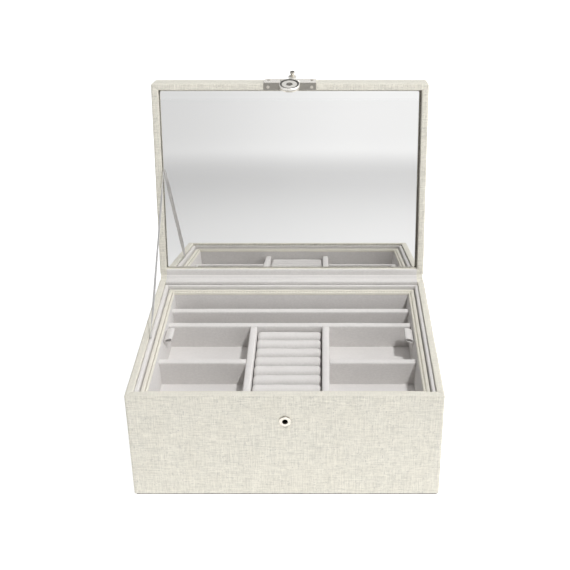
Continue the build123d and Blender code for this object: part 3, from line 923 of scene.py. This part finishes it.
class StuffRingPad(bpy.types.Operator):
    """Stuff the eight rolls that hold rings between them"""

    bl_idname = "chest.stuff_ring_pad"
    bl_label = "Ring pad"

    def execute(self, context):
        low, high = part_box("ring_rolls")
        pitch = (high.y - low.y) / ROLLS
        half = pitch / 2 - 0.45 * MM
        random.seed(7)
        crown = high.z - half
        outline = [(half * 0.9, low.z), (half, low.z + 2 * MM), (half, crown)]
        outline += arc((0.0, crown), half, 0, 180, 12)[1:-1]
        outline += [(-half, crown), (-half, low.z + 2 * MM), (-half * 0.9, low.z)]
        ends = [(0.0, 0.80), (0.6 * MM, 0.91), (1.8 * MM, 0.975), (3.6 * MM, 1.0)]
        for n in range(ROLLS):
            y = low.y + (n + 0.5) * pitch
            mesh = bar((low.x, y, 0), (high.x, y, 0), outline, ends, 3 * MM)
            made = make(f"ring_roll_{n + 1}", mesh, FINISH["velvet"])
            puff(made, ROLL_SWELL)
            shaped = bmesh.new()
            shaped.from_mesh(made.data)
            uneven(shaped, 13 * MM, 0.30 * MM, 20.0 + random.random() * 9)
            for vertex in shaped.verts:
                if vertex.co.z < low.z + 0.6 * MM:
                    vertex.co.z = low.z
                vertex.co.x = min(max(vertex.co.x, low.x - 0.2 * MM), high.x + 0.2 * MM)
            shaped.to_mesh(made.data)
            shaped.free()
            smooth = made.modifiers.new("smooth", "SUBSURF")
            smooth.levels = smooth.render_levels = 1
            settle(made, "tray", "velvet")
        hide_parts("ring_rolls")
        return {"FINISHED"}


class SewPullLoops(bpy.types.Operator):
    """Fold the two pull loops, and sew their tails to the tray's walls"""

    bl_idname = "chest.sew_pull_loops"
    bl_label = "Pull loops"

    def execute(self, context):
        for side, sign in (("left", 1), ("right", -1)):
            low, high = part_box(f"pull_loop_{side}")
            wall = low.x if sign > 0 else high.x
            reach, z = high.x - low.x, (low.z + high.z) / 2
            path = [(0.9, -1.4), (2.1, 0.0), (3.8, 0.9), (5.8, 1.5), (7.3, 1.7), (8.3, 1.3), (8.6, 0.5)]
            path += [(8.2, -0.4), (7.0, -1.3), (5.2, -2.0), (3.2, -2.4), (1.8, -2.5), (1.0, -2.2)]
            stretch = reach / (8.8 * MM)
            loop = self.strip(path, stretch, 0.42 * MM, wall, sign, z, low.y, high.y)
            uneven(loop, 7 * MM, 0.08 * MM, 30.0)
            made = make(f"pull_loop_ribbon_{side}", loop, FINISH["velvet"])
            settle(made, f"loop_{side}", "velvet", f"pull_loop_{side}")
            tail = [(0.9 + 0.085 * n, -1.3 - 1.6 * n) for n in range(11)]
            cloth = self.strip(tail, 1.0, 0.38 * MM, wall, sign, z, low.y + MM, high.y - MM)
            uneven(cloth, 7 * MM, 0.10 * MM, 31.0)
            made = make(f"pull_loop_tail_{side}", cloth, FINISH["velvet"])
            settle(made, "tray", "velvet")
        return {"FINISHED"}

    def strip(self, path, stretch, half_thick, wall, sign, z, y_low, y_high):
        """A ribbon whose section follows path, (inwards, up) in millimetres, from y_low to y_high."""
        outline = thickened([Vector((0, a * stretch, b)) * MM for a, b in path], half_thick)
        places = [y_low + (y_high - y_low) * n / 8 for n in range(9)]
        return loft([[Vector((wall + sign * p.y, y, z + p.z)) for p in outline] for y in places])


class StretchRibbon(bpy.types.Operator):
    """Stretch the stay ribbon from the case's left rim to the lid"""

    bl_idname = "chest.stretch_ribbon"
    bl_label = "Stay ribbon"

    def execute(self, context):
        points = [v.co for v in frame["nodes"]["stay_ribbon"].data.vertices]
        lowest = min(points, key=lambda p: p.z)
        lower = [p for p in points if (p - lowest).length < 8 * MM]
        upper = [p for p in points if (p - lowest).length > 100 * MM]
        start = sum(lower, Vector()) / len(lower)
        end = sum(upper, Vector()) / len(upper)
        run = (end - start).normalized()
        rightwards = Vector((1, 0, 0))
        across = rightwards.cross(run)
        half_wide, half_thick = 2.4 * MM, 0.28 * MM
        section = ((-1, -1), (-1, 1), (0, 1.15), (1, 1), (1, -1), (0, -1.15))
        steps = 48
        rings = []
        for n in range(steps + 1):
            share = n / steps
            twist = math.radians(30) * min(1.0, 6 * share, 6 - 6 * share)
            twist += math.radians(3) * math.sin(9 * share)
            wide = (across * math.cos(twist) + rightwards * math.sin(twist)) * half_wide
            thin = run.cross(wide).normalized() * half_thick
            sag = Vector((0, -0.5 * MM, -0.7 * MM)) * math.sin(math.pi * share)
            centre = start + (end - start) * share + sag
            rings.append([centre + wide * a + thin * b for a, b in section])
        made = make("stay_ribbon_grosgrain", loft(rings), FINISH["ribbon"], sharp=50)
        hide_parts("stay_ribbon")
        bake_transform(made)
        return {"FINISHED"}


class FoldHingeTape(bpy.types.Operator):
    """Fold the velvet tape and the linen spine over the hinge line"""

    bl_idname = "chest.fold_hinge_tape"
    bl_label = "Hinge tape"

    def execute(self, context):
        back, rim, lid_rim = CASE[1].y, CASE[1].z, LID[0].z
        inner = back - RIM
        on_lid = [(inner + 0.2 * MM, 0.55), (inner + 1.2 * MM, -0.32), (inner + 3.4 * MM, -0.45)]
        on_lid += [(back - 0.6 * MM, -0.40)]
        lid_points = [OPENED @ Vector((0, y, lid_rim + z * MM)) for y, z in on_lid]
        on_case = [(inner + 0.1 * MM, -2.4), (inner + 0.15 * MM, -0.5), (inner + 1.1 * MM, 0.36)]
        on_case += [(inner + 3.4 * MM, 0.46), (back - 1.0 * MM, 0.40)]
        case_points = [Vector((0, y, rim + z * MM)) for y, z in on_case]
        fold = [HINGE + Vector((0, -1.75 * MM, 1.25 * MM)), HINGE + Vector((0, -0.75 * MM, 2.2 * MM))]
        line = case_points + fold + lid_points[::-1]
        half = CASE[1].x - RIM - 0.6 * MM
        made = self.tape("velvet_hinge_tape", line, half, 0.30 * MM, FINISH["velvet"])
        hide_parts("case_hinge_tape", "lid_hinge_tape")
        low_end, high_end = case_points[-1], lid_points[-1]
        long = sum((b - a).length for a, b in zip(line, line[1:]))
        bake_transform(made)
        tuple(low_end)
        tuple(high_end)
        outer = CASE[1].x - 0.9 * MM
        behind = [(case_points[-1], 0.2, -0.75), (fold[0], 0.45, -0.5), (fold[1], 0.5, -0.45)]
        behind += [(lid_points[-1], 0.7, 0)]
        spine = [point + Vector((0, y * MM, z * MM)) for point, y, z in behind]
        made = self.tape("linen_spine", spine, outer, 0.22 * MM, FINISH["linen"])
        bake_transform(made)
        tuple(low_end)
        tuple(high_end)
        return {"FINISHED"}

    def tape(self, name, line, half, half_thick, finish):
        """A strip across the chest whose section follows line."""
        smooth = []
        for n in range(len(line) - 1):
            before, after = line[max(n - 1, 0)], line[min(n + 2, len(line) - 1)]
            for k in range(3):
                smooth.append(curve_point(before, line[n], line[n + 1], after, k / 3))
        smooth.append(line[-1])
        outline = thickened(smooth, half_thick)
        rings = [[p + Vector((x, 0, 0)) for p in outline] for x in evenly(-half, half, 5 * MM)]
        mesh = loft(rings)
        uneven(mesh, 12 * MM, 0.10 * MM, 40.0)
        return make(name, mesh, finish)


def curve_point(before, start, end, after, share):
    """A point of a smooth curve through start and end."""
    one, two = (end - before) / 2, (after - start) / 2
    s, t = share, share * share
    c = t * s
    return start * (2 * c - 3 * t + 1) + one * (c - 2 * t + s) + end * (3 * t - 2 * c) + two * (c - t)


BOARDS = [f"case_{part}_board" for part in (*SIDES, "base")] + [f"lid_{side}_board" for side in SIDES]
HINGES = [f"{part}_hinge_{kind}" for part in ("case", "lid") for kind in ("leaves", "screws")]
COATS = (  # finish, millimetres of softened edge, CAD nodes
    ("board", 0.0, (*BOARDS, "lid_top_panel", "lid_core", "mirror_backing", "tray_floor")),
    ("velvet", 0.0, ("well_floor_velvet", "tray_rests", "tray_floor_velvet", "ring_pad_base")),
    ("mirror", 0.0, ("mirror",)),
    ("felt", 0.0, ("base_felt",)),
    ("nickel", 0.0, ("strike_ring",)),
    ("nickel", 0.1, ("clasp_screws", "hasp_pin")),
    ("nickel", 0.18, ("hasp_leaf",)),
    ("plate", 0.16, ("clasp_plate",)),
    ("disc", 0.16, ("latch_disc",)),
    ("polish", 0.0, ("latch_knob",)),
    # Painted shade: near-black metal standing in for the shade inside the strike's hole.
    ("dark", 0.0, ("strike_snap_ring",)),
    ("dark", 0.1, ("strike_cup",)),
    ("steel", 0.14, ("latch_pivot_screw",)),
    ("steel", 0.12, (*HINGES, "hinge_pins")),
)


class CoatFrame(bpy.types.Operator):
    """Give every CAD piece that stays in sight its finish"""

    bl_idname = "chest.coat_frame"
    bl_label = "Boards and fittings"

    def execute(self, context):
        for finish, bevel, nodes in COATS:
            for node in nodes:
                coat(node, FINISH[finish], bevel * MM)
        return {"FINISHED"}


def area_light(name, place, size, power):
    """A square soft light at place, turned towards the chest."""
    lamp = bpy.data.lights.new(name, "AREA")
    lamp.shape = "SQUARE"
    lamp.size = size
    lamp.energy = power
    made = bpy.data.objects.new(name, lamp)
    made.location = place
    made.rotation_euler = (Vector(AIM) - Vector(place)).to_track_quat("-Z", "Y").to_euler()
    bpy.context.scene.collection.objects.link(made)


class SetStage(bpy.types.Operator):
    """Lay the pale floor, and set the lights and the camera"""

    bl_idname = "chest.set_stage"
    bl_label = "Stage"

    def execute(self, context):
        stage = context.scene.chest_stage
        self.floor(stage)
        self.surroundings(context.scene, stage)
        area_light("key_light", KEY_AT, KEY_SIZE, stage.key)
        area_light("fill_light", FILL_AT, FILL_SIZE, stage.fill)
        area_light("top_light", TOP_AT, TOP_SIZE, stage.top)
        lens = bpy.data.cameras.new("camera")
        lens.lens = stage.lens
        lens.sensor_width = SENSOR_WIDTH
        lens.shift_x, lens.shift_y = CAMERA_SHIFT
        lens.clip_start = 0.01
        camera = bpy.data.objects.new("camera", lens)
        camera.location = CAMERA_AT
        camera.rotation_euler = (math.pi / 2 - CAMERA_DIP, 0.0, 0.0)
        context.scene.collection.objects.link(camera)
        context.scene.camera = camera
        context.scene.view_settings.view_transform = "Standard"
        return {"FINISHED"}

    def floor(self, stage):
        """A wide pale floor that glows enough to stay near white round the chest."""
        mesh = bmesh.new()
        bmesh.ops.create_grid(mesh, x_segments=8, y_segments=8, size=15.0)
        recipe = material("pale_floor")
        x, y, _ = recipe.split(recipe.place())
        grain = recipe.noise(recipe.place(), 900.0, 2.0, 0.6)
        bearing = x / (1 - y).highest(1.0)
        shaded = (1 - bearing.between(-0.19, 0.05)) * (1 - y.between(-0.8, -0.4)) * 0.30
        away = (x * x + y * y).between(0.6, 12.0, 0.20, 0.95).highest(y.between(-0.5, -0.3))
        strength = (1 - shaded) * away * stage.floor_glow
        glow = recipe.node("ShaderNodeEmission", None, {"Color": (1, 1, 1, 1), "Strength": strength})
        white = recipe.tint(grain, (0.83, 0.83, 0.83), 0.99, 1.0)
        inputs = {"Base Color": white, "Roughness": 0.9, "Specular IOR Level": 0.1}
        paint = recipe.node("ShaderNodeBsdfPrincipled", None, inputs)
        both = recipe.node("ShaderNodeAddShader", None, {0: paint, 1: glow})
        recipe.node("ShaderNodeOutputMaterial", None, {"Surface": both})
        floor = make("floor", mesh, recipe.owner)

    def surroundings(self, scene, stage):
        """A white room: bright at the horizon, brightest low on the right, dimmer left and in front."""
        scene.world = bpy.data.worlds.new("white_room")
        recipe = Recipe(scene.world)
        x, y, z = recipe.split(recipe.node("ShaderNodeTexCoord", None, None, output=0))
        horizon = 1 - z.between(0.10, 0.65)
        side = x.between(-0.18, 0.06, 0.78, 1.0)
        lobe = x.between(0.5, 0.95) * (1 - z.between(0.35, 0.8)) * 1.5
        front = 1 - (1 - y.between(-0.3, 0.3)) * z.between(0.06, 0.25) * 0.6
        left = x.between(-1.0, -0.3, 0.55, 1.0)
        strength = (0.24 + 0.76 * horizon + lobe) * side * front * left * stage.sky
        inputs = {"Color": (1, 1, 1, 1), "Strength": strength}
        backdrop = recipe.node("ShaderNodeBackground", None, inputs)
        recipe.node("ShaderNodeOutputWorld", None, {"Surface": backdrop})


PIECES = (
    MixFinishes, WrapLinen, LineCase, BindTray, LineTray, PadDividers, StuffRingPad, SewPullLoops,
    StretchRibbon, FoldHingeTape, CoatFrame, SetStage,
)


class ChestPanel(bpy.types.Panel):
    """Lists the chest's settings and the steps that build it"""

    bl_idname = "VIEW3D_PT_chest"
    bl_label = "Jewellery chest"
    bl_space_type = "VIEW_3D"
    bl_region_type = "UI"
    bl_category = "Chest"

    def draw(self, context):
        for group in (context.scene.chest_cloth, context.scene.chest_stage):
            box = self.layout.box()
            for name in group.bl_rna.properties.keys():
                if name not in ("rna_type", "name"):
                    box.prop(group, name)
        for step in PIECES:
            self.layout.operator(step.bl_idname)


CLASSES = (ChestCloth, ChestStage, *PIECES, ChestPanel)


def register():
    for made in CLASSES:
        bpy.utils.register_class(made)
    bpy.types.Scene.chest_cloth = bpy.props.PointerProperty(type=ChestCloth)
    bpy.types.Scene.chest_stage = bpy.props.PointerProperty(type=ChestStage)


def unregister():
    del bpy.types.Scene.chest_stage
    del bpy.types.Scene.chest_cloth
    for made in reversed(CLASSES):
        bpy.utils.unregister_class(made)


def main():
    register()
    for step in PIECES:
        group, name = step.bl_idname.split(".")
        getattr(getattr(bpy.ops, group), name)()


if __name__ == "__main__":
    main()
